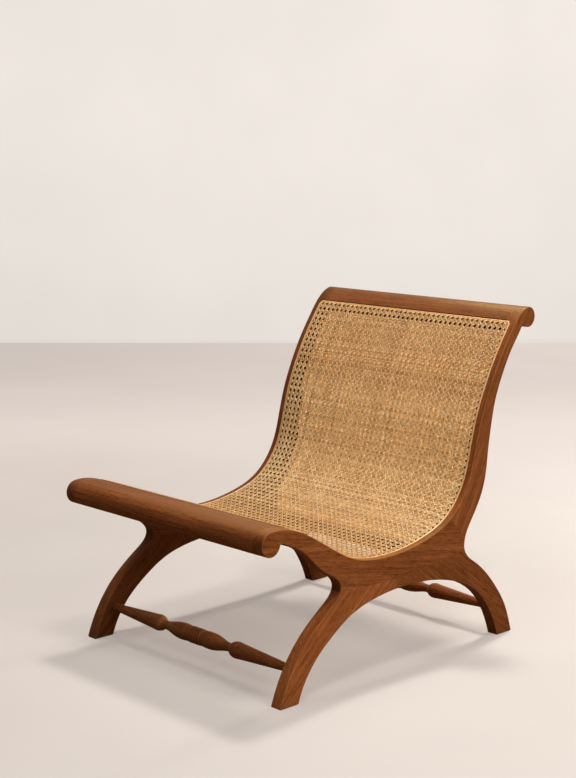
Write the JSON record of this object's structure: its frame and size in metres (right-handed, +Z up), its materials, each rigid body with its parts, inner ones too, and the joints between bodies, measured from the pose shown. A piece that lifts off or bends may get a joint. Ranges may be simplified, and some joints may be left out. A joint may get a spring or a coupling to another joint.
{
  "type": "cane lounge chair",
  "caption": "Low wooden lounge chair with S-shaped side frames on curved legs, scrolled ends, turned stretchers and a continuous woven cane seat and back.",
  "frame": {"origin": "on the floor, under the middle of the chair's box", "axes": "+Z up, +Y towards the chair's back, +X to the right of someone who faces the chair"},
  "size_m": [0.616, 0.855, 0.754],
  "materials": {
    "frame_wood": "satin oil",
    "turned_wood": "satin oil",
    "dowel_wood": "bare",
    "cane": "natural, slightly glossy",
    "reed_spline": "natural"
  },
  "bodies": {
    "root": {"crest_rail": "frame_wood", "crest_rail_dowels": "dowel_wood", "front_cane": "cane", "front_cane_front_spline": "reed_spline", "front_cane_left_spline": "reed_spline", "front_cane_right_spline": "reed_spline", "front_cane_top_spline": "reed_spline", "front_rail": "frame_wood", "front_rail_dowels": "dowel_wood", "front_stretcher": "turned_wood", "left_back_post": "frame_wood", "left_back_post_dowels": "dowel_wood", "left_front_leg": "frame_wood", "left_front_leg_dowels": "dowel_wood", "left_rear_leg": "frame_wood", "left_rear_leg_dowels": "dowel_wood", "left_seat_rail": "frame_wood", "lower_back_rail": "frame_wood", "lower_back_rail_dowels": "dowel_wood", "rear_cane": "cane", "rear_cane_bottom_spline": "reed_spline", "rear_cane_left_spline": "reed_spline", "rear_cane_right_spline": "reed_spline", "rear_cane_top_spline": "reed_spline", "rear_stretcher": "turned_wood", "right_back_post": "frame_wood", "right_back_post_dowels": "dowel_wood", "right_front_leg": "frame_wood", "right_front_leg_dowels": "dowel_wood", "right_rear_leg": "frame_wood", "right_rear_leg_dowels": "dowel_wood", "right_seat_rail": "frame_wood"}
  },
  "joints": []
}
